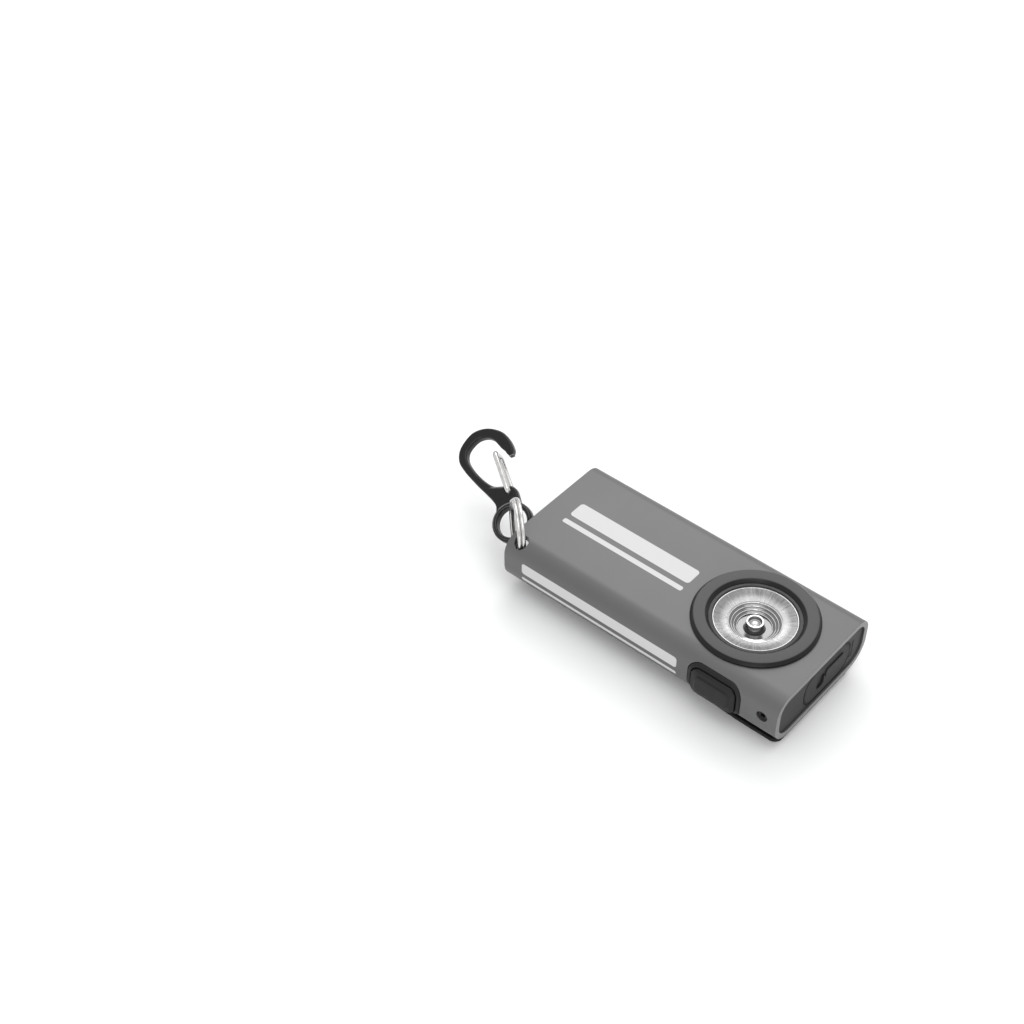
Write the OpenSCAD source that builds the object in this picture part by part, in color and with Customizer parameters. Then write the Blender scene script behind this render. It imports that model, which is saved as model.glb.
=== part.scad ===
// Keychain flashlight: an extruded aluminium tube with a lamp head let into its top face,
// a push button on one long side, a charging port behind a rubber flap at the lens end,
// a spring clip below and a split ring with a small snap hook at the tail.
// +X points from the tail to the lens end, +Z up. The origin is on the optical axis,
// in the plane of the clip's underside, on which the light rests.

/* [Tube] */
// Length of the aluminium tube
tube_l = 60.4; // [54:0.1:74]
// Width of the tube
tube_w = 28; // [26:0.1:34]
// Thickness of the tube
tube_t = 10.8; // [10.4:0.1:14]
// Radius of the two upper long edges
top_r = 3.6; // [2.4:0.1:4.2]
// Radius of the two lower long edges
bottom_r = 4.6; // [3:0.1:4.8]
// Wall of the tube
wall = 1.1; // [0.9:0.05:1.3]
// Distance of the optical axis from the lens end
head_inset = 14.6; // [14:0.1:18]

/* [Lamp head] */
// Radius of the bezel at its foot
bezel_r = 11.5; // [11:0.1:12.5]
// Height of the bezel above the tube
bezel_h = 0.9; // [0.6:0.1:1.6]
// Width of the bezel's outer slope
bezel_slope = 0.55; // [0.2:0.05:1]
// Radius of the window at the bezel's top
window_r = 8.9; // [8.6:0.1:9.2]
// Radius of the lip that holds the lens
lip_r = 8.2; // [7.9:0.1:8.4]
// Radius of the lens flange
lens_flange_r = 8.7; // [8.6:0.05:8.8]
// Radius of the lens below its flange
lens_r = 7.5; // [7:0.1:7.8]
// Radius of the well in the lens
well_r = 4.6; // [4:0.1:5]
// Side of the square emitter
emitter_w = 3.5; // [3:0.1:4]

/* [Button] */
// Length of the button's opening
button_l = 11.2; // [9:0.1:13]
// Height of the button's opening
button_h = 7.9; // [6.5:0.1:8.2]
// Corner radius of the button's opening
button_r = 2.5; // [1.5:0.1:3]
// Distance of the button's middle from the optical axis, towards the lens end
button_x = 1.6; // [0:0.1:2.5]
// How far the pad stands out of the tube
button_proud = 0.9; // [0.5:0.1:1.4]
// Travel of the button
button_travel = 0.3; // [0.2:0.05:0.4]

/* [Charging end] */
// Inset of the end cap from the tube's edge
cap_inset = 0.3; // [0.1:0.05:0.8]
// Thickness of the end cap
cap_t = 1.8; // [1.6:0.1:2.4]
// Width of the port flap
flap_w = 14.0; // [12.5:0.1:15]
// Height of the port flap
flap_h = 7.4; // [6:0.1:7.6]
// Thickness of the port flap
flap_t = 0.9; // [0.7:0.05:1.1]
// Distance of the port's middle from the tube's middle plane
port_y = 1.85; // [0:0.05:2]
// Radius of the end cap screws
cap_screw_r = 1.0; // [0.8:0.05:1.1]
// Distance of the cap screws from the lens end
cap_screw_inset = 3.0; // [3:0.1:4]

/* [Battery] */
// Length of the battery
cell_l = 26; // [20:0.5:27]
// Width of the battery
cell_w = 19.6; // [15:0.1:20]
// Thickness of the battery
cell_t = 5.6; // [4.5:0.1:5.8]

/* [Clip] */
// Thickness of the clip's spring steel
clip_t = 0.8; // [0.6:0.05:1]
// Gap between the clip and the tube
clip_gap = 1.2; // [1:0.1:2]
// Half width of the clip at the lens end
clip_half_w = 11.5; // [9:0.1:12]
// Radius of the clip's curved sides
clip_side_r = 66; // [50:1:90]
// Distance of the clip's end from the tube's lens end
clip_end_inset = 0.7; // [0.3:0.1:3]
// Length of the clip's screwed foot
clip_foot_l = 11; // [9:0.5:14]
// Half width of the clip's screwed foot
clip_foot_half_w = 8; // [7:0.1:9]

/* [Split ring] */
// Mean radius of the split ring
ring_r = 6.15; // [6:0.05:6.6]
// Thickness of the ring's wire
ring_wire = 0.8; // [0.6:0.05:0.85]
// Radius of the hole for the ring
ring_hole_r = 1.35; // [1.3:0.05:1.4]
// Distance of the ring hole from the tail end
ring_hole_inset = 2.4; // [2.3:0.1:3]
// Distance of the ring hole from the tube's side
ring_hole_side = 2.1; // [2:0.1:3]
// Direction in which the ring hangs, from +X
ring_heading = 138.4; // [137:0.1:140]

/* [Snap hook] */
// Outer radius of the hook's eye
eye_r = 4.05; // [3.9:0.05:4.1]
// Radius of the hole in the eye
eye_hole_r = 3.0; // [2.95:0.05:3.1]
// Thickness of the hook
hook_t = 2.0; // [1.6:0.1:2.1]
// Distance of the loop's middle from the eye's middle
loop_x = 15.2; // [14:0.1:20]
// Outer radius of the loop
loop_r = 5.5; // [5:0.1:6.5]
// Width of the hook's spine
spine_w = 1.8; // [1.4:0.1:2.2]
// Wire of the gate
gate_wire = 1.0; // [0.8:0.05:1.2]
// Lean of the hook about the length of the tube
hook_lean = 34.5; // [34:0.5:38]
// Turn of the hook in its own plane
hook_turn = 144; // [135:1:150]

/* [Hidden] */
$fn = 96;

slip = 0.1;          // clearance between parts that slide together
eps = 0.01;          // overlap of a cutter past the face that it cuts
through = 1;         // how far a cutter runs past a wall

// Tube
lens_x = head_inset;
tail_x = head_inset - tube_l;
half_w = tube_w / 2;
tube_z = clip_gap + clip_t;
top_z = tube_z + tube_t;
floor_z = tube_z + wall;
roof_z = top_z - wall;
mid_z = tube_z + tube_t / 2;

// Tray and boards
tray_t = 1.0;
tray_side_h = 3.0;
tray_inset = wall + slip;
pcb_z = floor_z + slip + tray_t + slip;
pcb_t = 0.8;
pcb_top_z = pcb_z + pcb_t;
pcb_half_w = half_w - bottom_r + 0.4;
led_board_t = 1.0;
led_board_l = 11;
led_board_w = 11.6;
led_top_z = pcb_top_z + led_board_t;
emitter_t = 0.7;
dome_r = 1.4;

// End cap
cap_face_x = lens_x - cap_inset;
cap_back_x = cap_face_x - cap_t;
flap_back_x = cap_face_x - flap_t;
flap_gap = 0.15;
flap_r = flap_h / 2 - 0.4;
tether_w = 0.9;
port_z = pcb_top_z + 1.6;
port_w = 9.3;
port_h = 3.6;
plug_w = 7.8;
plug_h = 3.0;
usb_l = 6.4;
usb_w = 8.94;
usb_h = 3.16;
usb_wall = 0.3;
usb_front_x = cap_back_x - 0.05;
lug_l = 2.6;
lug_w = 2.6;
cap_screw_x = lens_x - cap_screw_inset;
cap_screw_z = mid_z + 0.8;
cap_screw_l = 3.4;
cap_screw_sink = 0.35;

// Lamp head
skirt_r = 9.6;
skirt_depth = 1.9;
skirt_wall = 0.8;
flange_top_z = top_z + 0.25;
flange_t = 0.7;
gasket_t = 0.65;
holder_t = 1.0;
holder_leg_r = 0.5;
holder_leg_at = lens_flange_r - 0.15 - holder_leg_r;
HOLDER_LEGS = [75, 135, 184, 225];
hollow_r = emitter_w * 0.71 + 0.15;
lens_foot_r = hollow_r + 0.4;
lens_foot_z = led_top_z + 0.35;
well_depth = 2.7;
well_floor_r = 3.0;
post_r = 1.65;

// Button
pad_clear = 0.12;
lip_w = 1.0;
pad_l = button_l - 2 * lip_w;
pad_h = button_h - 2 * lip_w;
pad_r = max(button_r - lip_w, 0.5);
frame_proud = 0.25;
frame_flange = 0.9;
frame_flange_t = 0.7;
switch_z = mid_z;
switch_l = 6;
switch_d = 3.2;
switch_front_y = -half_w + 4.4;
plunger_r = 0.8;
plunger_l = 1.3;
boss_r = 1.5;

// Battery end
plug_t = 2.4;
tail_face_x = tail_x + cap_inset;
cell_x1 = -13.4;
cell_x0 = cell_x1 - cell_l;
cell_z = pcb_z;
foam_gap = 0.1;

// Clip
clip_hinge_x = -11;
clip_crank_l = 4;
clip_tip_x = lens_x - clip_end_inset;
clip_wide_x = 7;
clip_tip_r = 1.6;
clip_foot_x1 = clip_hinge_x - clip_crank_l;
clip_foot_x0 = clip_foot_x1 - clip_foot_l;
clip_screw_r = 0.95;
clip_head_r = 1.8;
clip_head_h = 0.8;
clip_screw_at = 4.5;
backing_t = 0.8;

// Ring and hook
ring_hole_x = tail_x + ring_hole_inset;
ring_hole_y = -(half_w - ring_hole_side);
ring_drop = 3.4;                 // depth of the ring's middle below the tube's top
ring_hole_drop = 0.6;            // depth at which the ring passes through its hole
ring_z = top_z - ring_drop;
ring_reach = sqrt(pow(ring_r, 2) - pow(ring_drop - ring_hole_drop, 2));
ring_cx = ring_hole_x + ring_reach * cos(ring_heading);
ring_cy = ring_hole_y + ring_reach * sin(ring_heading);
EYE_FROM_RING = [-3.73, 3.11, -2.29];
gate_pivot_x = 5.75;
gate_pivot_y = -1.45;
gate_end_x = 14.3;
gate_leg_z = hook_t / 2 + gate_wire / 2 + 0.12;

// Cross-section of the tube, in the YZ plane, shrunk by an inset
module section(inset = 0) {
    w = half_w - inset;
    t0 = inset;
    t1 = tube_t - inset;
    rt = top_r - inset;
    rb = bottom_r - inset;
    translate([-w, t0 + rb]) square([2 * w, t1 - rt - t0 - rb]);
    translate([-(w - rt), t0 + rb]) square([2 * (w - rt), t1 - t0 - rb]);
    translate([-(w - rb), t0]) square([2 * (w - rb), t1 - rt - t0]);
    for (side = [-1, 1]) {
        translate([side * (w - rt), t1 - rt]) circle(r = rt);
        translate([side * (w - rb), t0 + rb]) circle(r = rb);
    }
}

// The section carried along X
module bar(inset, x0, x1) {
    translate([x0, 0, tube_z]) rotate([90, 0, 90]) linear_extrude(x1 - x0) section(inset);
}

// Rectangle with rounded corners, centred
module rounded(w, h, r) {
    square([w - 2 * r, h], center = true);
    square([w, h - 2 * r], center = true);
    for (x = [-1, 1], y = [-1, 1]) translate([x * (w / 2 - r), y * (h / 2 - r)]) circle(r = r);
}

// Block between two corners
module block(low, high) {
    translate(low) cube(high - low);
}

// Rounded plate seen along Y, from y0 to y1, centred on x and z
module plate_y(w, h, r, x, z, y0, y1) {
    translate([x, y1, z]) rotate([90, 0, 0]) linear_extrude(y1 - y0) rounded(w, h, r);
}

// Rounded plate seen along X, from x0 to x1, centred on y and z
module plate_x(w, h, r, y, z, x0, x1) {
    translate([x0, y, z]) rotate([90, 0, 90]) linear_extrude(x1 - x0) rounded(w, h, r);
}

// Rod along Y
module rod_y(r, x, z, y0, y1) {
    translate([x, y1, z]) rotate([90, 0, 0]) cylinder(r = r, h = y1 - y0);
}

// Aluminium tube with the head's bore, the button's opening and the screw holes
module tube() {
    color("gray") difference() {
        bar(0, tail_x, lens_x);
        bar(wall, tail_x - through, lens_x + through);
        translate([0, 0, roof_z - through]) cylinder(r = skirt_r + slip / 2, h = wall + 2 * through);
        plate_y(button_l, button_h, button_r, button_x, mid_z, -half_w - through, -half_w + 3);
        for (side = [-1, 1])
            rod_y(cap_screw_r + slip, cap_screw_x, cap_screw_z,
                min(side * (half_w + through), side * (half_w - 2)),
                max(side * (half_w + through), side * (half_w - 2)));
        translate([ring_hole_x, ring_hole_y, mid_z]) cylinder(r = ring_hole_r, h = tube_t);
        for (side = [-1, 1])
            translate([(clip_foot_x0 + clip_foot_x1) / 2, side * clip_screw_at, tube_z - through])
                cylinder(r = clip_screw_r + slip, h = wall + 2 * through);
    }
}

// Shape of the flap's recess and of the flap, grown by a gap
module flap_outline(gap, x0, x1) {
    plate_x(flap_w + 2 * gap, flap_h + 2 * gap, flap_r + gap, port_y, mid_z, x0, x1);
}

// Plastic cap that closes the lens end, with the port behind the flap's recess
module lens_end_cap() {
    color("dimgray") difference() {
        union() {
            bar(wall + slip / 2, cap_back_x, cap_face_x);
            for (side = [-1, 1]) intersection() {
                bar(wall + slip / 2, cap_back_x - lug_l, cap_back_x);
                block([cap_back_x - lug_l - eps, min(side * half_w, side * (half_w - wall - lug_w)),
                        pcb_top_z + slip],
                    [cap_back_x + eps, max(side * half_w, side * (half_w - wall - lug_w)),
                        roof_z - 0.8]);
            }
        }
        flap_outline(flap_gap, flap_back_x, cap_face_x + through);
        block([flap_back_x, port_y + flap_w / 2 - eps, mid_z - flap_h / 4 - flap_gap],
            [cap_face_x + through, port_y + flap_w / 2 + flap_gap + tether_w, mid_z + flap_h / 4 + flap_gap]);
        plate_x(port_w, port_h, port_h / 2 - 0.3, port_y, port_z, cap_back_x - through, cap_face_x);
        for (side = [-1, 1])
            rod_y(cap_screw_r, cap_screw_x, cap_screw_z,
                min(side * (half_w + through), side * (half_w - cap_screw_l - cap_screw_sink)),
                max(side * (half_w + through), side * (half_w - cap_screw_l - cap_screw_sink)));
    }
}

// Rubber flap over the port, with a grip bar, a nail notch and the plug behind it
module usb_flap() {
    grip_w = 5.6;
    grip_h = 1.9;
    grip_y = port_y + 2.1;
    color("#3a3a3a") difference() {
        union() {
            flap_outline(0, flap_back_x + slip / 2, cap_face_x);
            plate_x(grip_w, grip_h, 0.6, grip_y, mid_z + 0.6, cap_face_x - eps, cap_face_x + 0.25);
            plate_x(plug_w, plug_h, plug_h / 2 - 0.2, port_y + 0.4, port_z, cap_back_x + 0.15,
                flap_back_x + slip / 2 + eps);
        }
        plate_x(2.2, 3.2, 0.7, grip_y - grip_w / 2 - 1.2, mid_z - 0.3, cap_face_x - 0.4,
            cap_face_x + through);
    }
}

// Anchor of the flap, let into the cap at the flap's hinged end
module flap_tether() {
    color("#2c2c2c")
        block([flap_back_x + slip / 2, port_y + flap_w / 2 + flap_gap - 0.05, mid_z - flap_h / 4],
            [cap_face_x - 0.05, port_y + flap_w / 2 + flap_gap + tether_w - 0.05, mid_z + flap_h / 4]);
}

// Two screws through the tube's sides into the cap's lugs, with a slot in each head
module cap_screws() {
    shank_r = cap_screw_r - 0.05;
    color("#202020") for (side = [-1, 1]) difference() {
        rod_y(shank_r, cap_screw_x, cap_screw_z,
            min(side * (half_w - cap_screw_sink), side * (half_w - cap_screw_sink - cap_screw_l + 0.3)),
            max(side * (half_w - cap_screw_sink), side * (half_w - cap_screw_sink - cap_screw_l + 0.3)));
        plate_y(0.9, 0.9, 0.1, cap_screw_x, cap_screw_z,
            min(side * half_w, side * (half_w - cap_screw_sink - 0.8)),
            max(side * half_w, side * (half_w - cap_screw_sink - 0.8)));
    }
}

// Black bezel: a sloped rim over the tube's top and a skirt pressed into its bore
module bezel_ring() {
    profile = [
        [lip_r, flange_top_z + 0.05],
        [window_r - 0.15, top_z + bezel_h],
        [bezel_r - bezel_slope, top_z + bezel_h],
        [bezel_r, top_z + bezel_h / 3],
        [bezel_r, top_z],
        [skirt_r, top_z],
        [skirt_r, top_z - skirt_depth],
        [skirt_r - skirt_wall, top_z - skirt_depth],
        [skirt_r - skirt_wall, flange_top_z + 0.05]];
    color("#303032") rotate_extrude() polygon(profile);
}

// Lens that gathers the light inside: flange, dished front, well with a post, and the
// flared flank down to the hollow over the emitter
module tir_lens() {
    flank_n = 10;
    flank_top_z = flange_top_z - flange_t;
    flank = [for (i = [0:flank_n]) let (s = i / flank_n)
        [lens_foot_r + (lens_r - lens_foot_r) * pow(s, 0.62), lens_foot_z + (flank_top_z - lens_foot_z) * s]];
    front = [
        [lens_flange_r, flank_top_z],
        [lens_flange_r, flange_top_z],
        [lens_r + 0.1, flange_top_z],
        [lens_r, flange_top_z - 0.3],
        [well_r + 0.1, flange_top_z - 1.1],
        [well_r - 0.5, flange_top_z - 1.5],
        [well_floor_r, flange_top_z - well_depth],
        [post_r, flange_top_z - well_depth],
        [post_r - 0.1, flange_top_z - well_depth + 0.9],
        [0.9, flange_top_z - well_depth + 1.35],
        [0, flange_top_z - well_depth + 1.5]];
    hollow = [
        [0, lens_foot_z + 1.5],
        [hollow_r * 0.5, lens_foot_z + 1.35],
        [hollow_r * 0.9, lens_foot_z + 0.9],
        [hollow_r, lens_foot_z]];
    color("white", 0.5) rotate_extrude() polygon(concat(hollow, flank, front));
}

// Silicone ring under the lens flange
module lens_gasket() {
    ring_top = flange_top_z - flange_t;
    color("#222222") rotate_extrude()
        translate([lens_r + 0.3, ring_top - gasket_t]) square([lens_flange_r - lens_r - 0.35, gasket_t]);
}

// Holder that stands on the board and carries the gasket on its rim
module lens_holder() {
    rim_z = flange_top_z - flange_t - gasket_t - holder_t;
    color("#181818") {
        difference() {
            translate([0, 0, rim_z]) cylinder(r = lens_flange_r - 0.05, h = holder_t);
            translate([0, 0, rim_z - through]) cylinder(r = lens_r + 0.2, h = holder_t + 2 * through);
        }
        for (a = HOLDER_LEGS) rotate([0, 0, a]) translate([holder_leg_at, 0, pcb_top_z])
            cylinder(r = holder_leg_r, h = rim_z - pcb_top_z + eps);
    }
}

// Emitter with its phosphor dome
module led_emitter() {
    color("gold") {
        translate([-emitter_w / 2, -emitter_w / 2, led_top_z]) cube([emitter_w, emitter_w, emitter_t]);
        intersection() {
            translate([0, 0, led_top_z + emitter_t - 0.4]) sphere(r = dome_r);
            translate([-dome_r, -dome_r, led_top_z + emitter_t - eps]) cube([2 * dome_r, 2 * dome_r, dome_r]);
        }
    }
}

// Metal-core board under the emitter
module led_board() {
    color("white") translate([0, 0, pcb_top_z]) linear_extrude(led_board_t)
        rounded(led_board_l, led_board_w, 1.5);
}

// Main board on the tray's floor
module main_pcb() {
    color("darkgreen") block([cell_x1 + 1, -pcb_half_w, pcb_z], [usb_front_x - 0.2, pcb_half_w, pcb_top_z]);
}

// Charger, driver, coil and capacitors on the main board
module driver_chips() {
    chip_x = cell_x1 + 4;
    color("#151515") {
        block([chip_x - 2, -6.5, pcb_top_z], [chip_x + 2, -2.5, pcb_top_z + 0.9]);
        block([chip_x - 1.5, 0.5, pcb_top_z], [chip_x + 1.5, 3.5, pcb_top_z + 0.9]);
        translate([chip_x, 6.8, pcb_top_z]) cylinder(r = 2, h = 1.8);
        for (i = [0:3]) block([chip_x + 2.6, 0.2 + 1.6 * i, pcb_top_z], [chip_x + 3.2, 1.4 + 1.6 * i, pcb_top_z + 0.6]);
    }
}

// Steel shell of the charging socket
module usb_receptacle() {
    usb_z = pcb_top_z + usb_h / 2;
    color("silver") difference() {
        plate_x(usb_w, usb_h, usb_h / 2 - 0.1, port_y, usb_z, usb_front_x - usb_l, usb_front_x);
        plate_x(usb_w - 2 * usb_wall, usb_h - 2 * usb_wall, usb_h / 2 - 0.1 - usb_wall, port_y, usb_z,
            usb_front_x - usb_l + 1.2, usb_front_x + through);
    }
}

// Contact tongue in the middle of the socket
module usb_tongue() {
    usb_z = pcb_top_z + usb_h / 2;
    color("#101010") plate_x(6.7, 0.7, 0.3, port_y, usb_z, usb_front_x - usb_l + 1.2, usb_front_x - 0.6);
}

// Side switch on the main board, open at the front for its plunger
module tact_switch() {
    color("#2a2a2a") difference() {
        block([button_x - switch_l / 2, switch_front_y, pcb_top_z],
            [button_x + switch_l / 2, switch_front_y + switch_d, switch_z + plunger_r + 0.8]);
        rod_y(plunger_r + 0.05, button_x, switch_z, switch_front_y - through,
            switch_front_y + 0.75 + button_travel + 0.05);
    }
}

// Plunger of the switch
module switch_plunger() {
    color("#8a2020") rod_y(plunger_r, button_x, switch_z, switch_front_y + 0.75 - plunger_l,
        switch_front_y + 0.75);
}

// Rubber surround of the button: a lip in the opening and a flange against the inner wall
module button_frame() {
    front_y = -half_w - frame_proud;
    color("#262626") difference() {
        union() {
            intersection() {
                bar(-frame_proud, button_x - button_l, button_x + button_l);
                plate_y(button_l - slip, button_h - slip, button_r - slip / 2, button_x, mid_z,
                    front_y - through, -half_w + wall + frame_flange_t);
            }
            intersection() {
                difference() {
                    bar(wall + slip / 2, button_x - button_l, button_x + button_l);
                    bar(wall + slip / 2 + frame_flange_t, button_x - button_l - 1, button_x + button_l + 1);
                }
                plate_y(button_l + 2 * frame_flange, button_h, button_r, button_x, mid_z,
                    front_y - through, -half_w + 4);
            }
        }
        plate_y(pad_l + 2 * pad_clear, pad_h + 2 * pad_clear, pad_r + pad_clear, button_x, mid_z,
            front_y - 2 * through, -half_w + 5);
        bar(wall + slip / 2 + frame_flange_t, button_x - 2 * button_l, button_x + 2 * button_l);
    }
}

// Moving pad: a stepped face outside and a boss that reaches the switch
module side_button() {
    face_y = -half_w - button_proud;
    back_y = -half_w + wall + 0.4;
    color("#303030") {
        plate_y(pad_l, pad_h, pad_r, button_x, mid_z, face_y + 0.35, back_y);
        plate_y(pad_l - 0.9, pad_h - 0.9, pad_r - 0.3, button_x, mid_z, face_y + 0.12, face_y + 0.36);
        plate_y(pad_l - 2.6, pad_h - 2.4, 0.8, button_x, mid_z, face_y, face_y + 0.13);
        rod_y(boss_r, button_x, switch_z, back_y - eps, switch_front_y + 0.75 - plunger_l - 0.02);
    }
}

// Tray that follows the tube's lower half and carries the board and the battery
module chassis_tray() {
    x0 = tail_face_x + plug_t + slip;
    x1 = cap_back_x - lug_l - slip;
    color("#454545") difference() {
        intersection() {
            bar(tray_inset, x0, x1);
            block([x0 - 1, -half_w, tube_z], [x1 + 1, half_w, pcb_z + tray_side_h]);
        }
        bar(tray_inset + tray_t, x0 - through, x1 + through);
        block([button_x - button_l / 2 - frame_flange - slip, -half_w, mid_z - button_h / 2 - slip],
            [button_x + button_l / 2 + frame_flange + slip, -half_w + wall + tray_t + 3, top_z]);
        block([clip_foot_x0, -clip_foot_half_w + 0.3, tube_z], [clip_foot_x1, clip_foot_half_w - 0.3, pcb_z]);
        translate([ring_hole_x, ring_hole_y, tube_z]) cylinder(r = ring_hole_r + 1, h = tube_t);
    }
}

// Flat lithium cell
module battery_cell() {
    color("silver") translate([cell_x0, 0, cell_z + cell_t / 2]) rotate([90, 0, 90])
        linear_extrude(cell_l) rounded(cell_w, cell_t, 1.2);
}

// Foam that holds the cell down
module battery_foam() {
    color("#1d1d1d") block([cell_x0 + 4, -cell_w / 2 + 3, cell_z + cell_t],
        [cell_x1 - 4, cell_w / 2 - 3, roof_z - foam_gap]);
}

// Two leads from the cell to the board, each bent down once
module battery_wires() {
    wire_r = 0.45;
    wire_z = cell_z + cell_t * 0.6;
    reach = 2.2;
    color("firebrick") for (y = [-9, -7.6]) translate([cell_x1 + slip / 2, y, wire_z]) {
        rotate([0, 90, 0]) cylinder(r = wire_r, h = reach);
        translate([reach, 0, 0]) sphere(r = wire_r);
        translate([reach, 0, pcb_top_z - wire_z]) cylinder(r = wire_r, h = wire_z - pcb_top_z);
    }
}

// Plug of the tail end, cut off at the side where the split ring moves
module tail_plug() {
    pocket_w = 8.6;
    color("#2e2e2e") difference() {
        bar(wall + slip / 2, tail_face_x, tail_face_x + plug_t);
        block([tail_face_x - 1, -half_w, tube_z], [tail_face_x + plug_t + 1, -half_w + pocket_w, top_z]);
    }
}

// Screwed foot of the clip and its crank down to the arm
module clip_foot() {
    z1 = tube_z;
    side = [
        [clip_foot_x0, z1],
        [clip_foot_x0, z1 - clip_t],
        [clip_foot_x1 - clip_t / 2, z1 - clip_t],
        [clip_hinge_x - clip_t / 2, 0],
        [clip_hinge_x, 0],
        [clip_hinge_x, clip_t],
        [clip_foot_x1, z1]];
    color("#141414") difference() {
        translate([0, clip_foot_half_w, 0]) rotate([90, 0, 0]) linear_extrude(2 * clip_foot_half_w) polygon(side);
        for (s = [-1, 1])
            translate([(clip_foot_x0 + clip_foot_x1) / 2, s * clip_screw_at, z1 - clip_t - through])
                cylinder(r = clip_screw_r + slip, h = clip_t + 2 * through);
    }
}

// Flat arm of the clip, wide at its free end
module clip_arm() {
    x0 = clip_hinge_x + 0.12;
    x_mid = min(clip_wide_x, clip_tip_x - 2 * clip_tip_r);
    color("#101010") linear_extrude(clip_t) {
        intersection() {
            translate([x0, -clip_half_w]) square([x_mid - x0 + eps, 2 * clip_half_w]);
            translate([x_mid, clip_side_r - clip_half_w]) circle(r = clip_side_r, $fn = 256);
            translate([x_mid, clip_half_w - clip_side_r]) circle(r = clip_side_r, $fn = 256);
        }
        translate([x_mid, -clip_half_w]) square([clip_tip_x - clip_tip_r - x_mid, 2 * clip_half_w]);
        translate([clip_tip_x - clip_tip_r - eps, -clip_half_w + clip_tip_r])
            square([clip_tip_r + eps, 2 * (clip_half_w - clip_tip_r)]);
        for (s = [-1, 1]) translate([clip_tip_x - clip_tip_r, s * (clip_half_w - clip_tip_r)])
            circle(r = clip_tip_r);
    }
}

// Two screws that hold the foot to the plate inside the tube
module clip_screws() {
    color("#1a1a1a") for (s = [-1, 1])
        translate([(clip_foot_x0 + clip_foot_x1) / 2, s * clip_screw_at, 0]) {
            translate([0, 0, tube_z - clip_t - clip_head_h]) difference() {
                cylinder(r = clip_head_r, h = clip_head_h);
                translate([-0.6, -0.6, -eps]) cube([1.2, 1.2, 0.45]);
            }
            translate([0, 0, tube_z - clip_t - eps]) cylinder(r = clip_screw_r, h = clip_t + wall + backing_t);
        }
}

// Threaded plate inside the tube
module clip_backing_plate() {
    xm = (clip_foot_x0 + clip_foot_x1) / 2;
    color("silver") difference() {
        block([xm - 2.5, -7, floor_z], [xm + 2.5, 7, floor_z + backing_t]);
        for (s = [-1, 1]) translate([xm, s * clip_screw_at, floor_z - through])
            cylinder(r = clip_screw_r + 0.05, h = backing_t + 2 * through);
    }
}

// Places its children in the split ring's own frame: X outwards, Y up, Z along the ring's axis
module ring_frame() {
    translate([ring_cx, ring_cy, ring_z]) rotate([90, 0, ring_heading]) children();
}

// Split ring of two coils side by side
module split_ring() {
    color("silver") ring_frame() for (s = [-1, 1]) translate([0, 0, s * (ring_wire / 2 - 0.01)])
        rotate_extrude() translate([ring_r, 0]) circle(r = ring_wire / 2, $fn = 32);
}

// Places its children in the hook's own frame: X along the hook, Z across its thickness
module hook_frame() {
    translate([ring_cx, ring_cy, ring_z] + EYE_FROM_RING)
        rotate([hook_lean, 0, 0]) rotate([0, 0, hook_turn]) children();
}

// Outline of the hook: eye, neck, spine, loop and nose
module hook_outline() {
    loop_in = loop_r - spine_w;
    difference() {
        union() {
            circle(r = eye_r);
            polygon([[2.6, -2.9], [6.4, -2.9], [7.3, -0.6], [8.4, 1.6], [loop_x - 1.4, 5.0],
                [loop_x - 0.4, loop_r + 0.3], [loop_x - 2.4, loop_r + 0.1], [5.4, 2.35], [2.6, 2.6]]);
            translate([loop_x, 0.4]) circle(r = loop_r);
        }
        circle(r = eye_hole_r);
        translate([loop_x, 0.55]) circle(r = loop_in);
        polygon([[7.7, -8], [7.7, 0], [8.6, 1.5], [loop_x - 1.9, loop_in + 0.3], [loop_x, loop_in],
            [loop_x, -2.6], [loop_x - 1.6, -3.1], [loop_x - 2.9, -3.6], [loop_x - 2.9, -8]]);
    }
}

// Cast hook, drilled for the ends of the gate
module hook_body() {
    color("#38383c") hook_frame() difference() {
        translate([0, 0, -hook_t / 2]) linear_extrude(hook_t) hook_outline();
        translate([gate_pivot_x, gate_pivot_y, -hook_t]) cylinder(r = gate_wire / 2 + 0.08, h = 2 * hook_t);
    }
}

// Wire gate: two legs that turn in the neck, joined by a cross-piece behind the nose
module hook_gate() {
    color("silver") hook_frame() translate([gate_pivot_x, gate_pivot_y, 0]) {
        leg = gate_end_x - gate_pivot_x;
        for (s = [-1, 1]) {
            translate([0, 0, s * gate_leg_z]) {
                rotate([0, 90, 0]) cylinder(r = gate_wire / 2, h = leg, $fn = 32);
                sphere(r = gate_wire / 2, $fn = 32);
            }
            translate([leg, 0, s * gate_leg_z]) sphere(r = gate_wire / 2, $fn = 32);
        }
        cylinder(r = gate_wire / 2, h = 2 * gate_leg_z, center = true, $fn = 32);
        translate([leg, 0, 0]) cylinder(r = gate_wire / 2, h = 2 * gate_leg_z, center = true, $fn = 32);
    }
}

tube();
lens_end_cap();
usb_flap();
flap_tether();
cap_screws();
bezel_ring();
tir_lens();
lens_gasket();
lens_holder();
led_emitter();
led_board();
main_pcb();
driver_chips();
usb_receptacle();
usb_tongue();
tact_switch();
switch_plunger();
button_frame();
side_button();
chassis_tray();
battery_cell();
battery_foam();
battery_wires();
tail_plug();
clip_foot();
clip_arm();
clip_screws();
clip_backing_plate();
split_ring();
hook_body();
hook_gate();
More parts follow.
